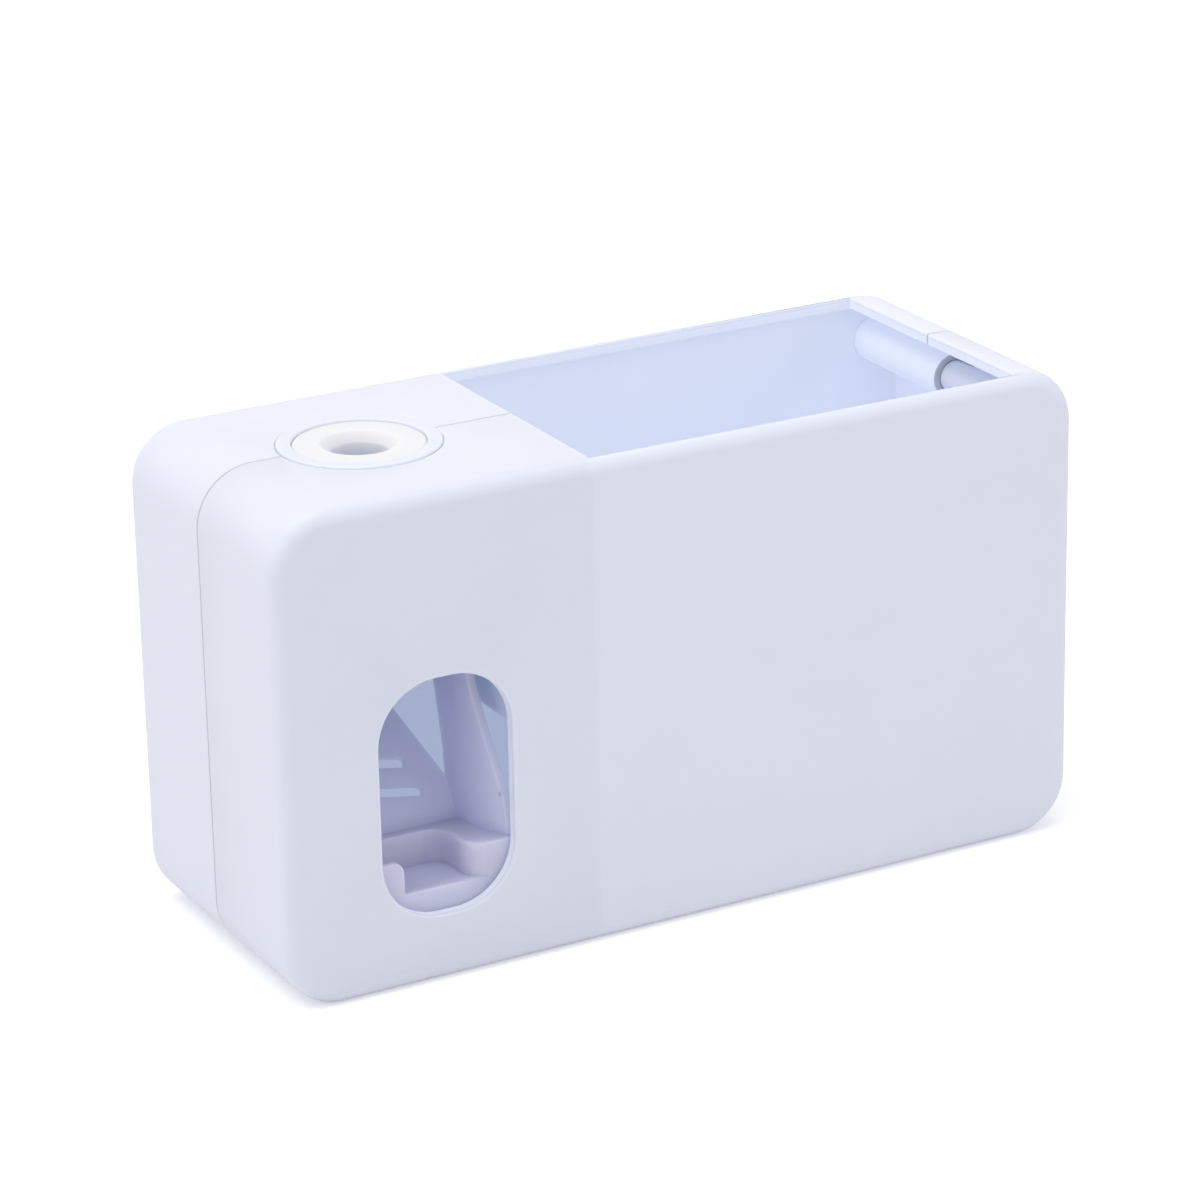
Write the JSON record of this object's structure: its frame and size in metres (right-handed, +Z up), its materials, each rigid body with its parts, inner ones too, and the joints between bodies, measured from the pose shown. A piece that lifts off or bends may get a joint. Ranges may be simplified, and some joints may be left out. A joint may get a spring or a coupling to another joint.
{
  "type": "toothpaste dispenser",
  "caption": "Box-shaped counter-top toothpaste dispenser with an open storage bin, a silicone tube inlet in the top and a brush-operated squeeze lever behind an oval port.",
  "frame": {"origin": "middle of the base, under the middle of the case", "axes": "+Z up; +X along the case, from the pump to the storage bin; -Y towards the user, out of the brush port"},
  "size_m": [0.16, 0.06, 0.0903],
  "materials": {
    "case": "white, satin moulded surface",
    "mechanism": "white, plain moulded surface",
    "lever": "pale lilac, plain moulded surface",
    "silicone": "white soft silicone",
    "steel": "plain"
  },
  "bodies": {
    "housing": {"front_shell": "case", "rear_shell": "case", "shell_screws": "steel", "inlet_collar": "case", "inlet_grommet": "silicone", "pump_frame": "mechanism", "frame_screws": "steel", "pump_hose": "silicone", "hose_clips": "steel", "inlet_valve": "silicone", "outlet_elbow": "mechanism", "elbow_screws": "steel", "outlet_valve": "silicone", "nozzle_cap": "mechanism", "pivot_pin": "steel", "pin_clips": "steel", "return_springs": "steel"},
    "lever": {"push_lever": "lever", "roller_pin": "steel"},
    "roller": {"press_roller": "mechanism"}
  },
  "joints": [
    {"name": "lever_hinge", "type": "hinge", "parent": "housing", "child": "lever", "pos_m": [-0.0488, -0.0105, 0.078], "axis": [1, 0, 0], "range_deg": [0, 17], "stiffness_Nm_per_rad": 0.12, "springref_deg": -20.05, "deforming": ["pump_hose", "return_springs"]},
    {"name": "roller_spin", "type": "hinge", "parent": "lever", "child": "roller", "pos_m": [-0.0488, -0.01, 0.064], "axis": [1, 0, 0], "continuous": true}
  ]
}
